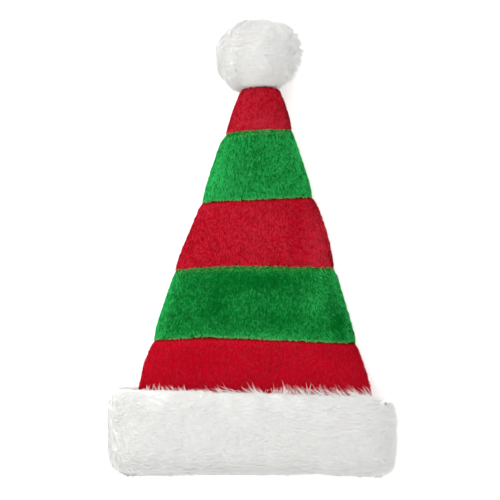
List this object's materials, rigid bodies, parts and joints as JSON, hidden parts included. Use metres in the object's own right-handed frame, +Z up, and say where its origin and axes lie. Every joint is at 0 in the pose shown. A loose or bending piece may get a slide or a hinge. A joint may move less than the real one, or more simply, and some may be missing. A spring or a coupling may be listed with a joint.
{
  "type": "elf hat",
  "caption": "Striped plush elf hat lying flat on its back, a tapered cloth crown with a turned-up long-pile fur cuff round the mouth and a fur pompom behind the tip.",
  "frame": {"origin": "bottom centre of the bounding box, on the floor that the hat lies on", "axes": "+Y from the mouth to the pompom along the hat, +X across it to its right side as seen from above, +Z up from the floor through the lying front wall"},
  "size_m": [0.299, 0.458, 0.0666],
  "materials": {
    "red_plush": "short soft red plush pile",
    "green_plush": "short soft green plush pile",
    "white_cuff_fur": "long white fur pile",
    "white_pompom_fur": "long white fur pile, combed round a ball"
  },
  "bodies": {
    "root": {"stripe_red_rim": "red_plush", "stripe_green_lower": "green_plush", "stripe_red_middle": "red_plush", "stripe_green_upper": "green_plush", "stripe_red_tip": "red_plush", "cuff": "white_cuff_fur", "pompom": "white_pompom_fur"}
  },
  "joints": []
}
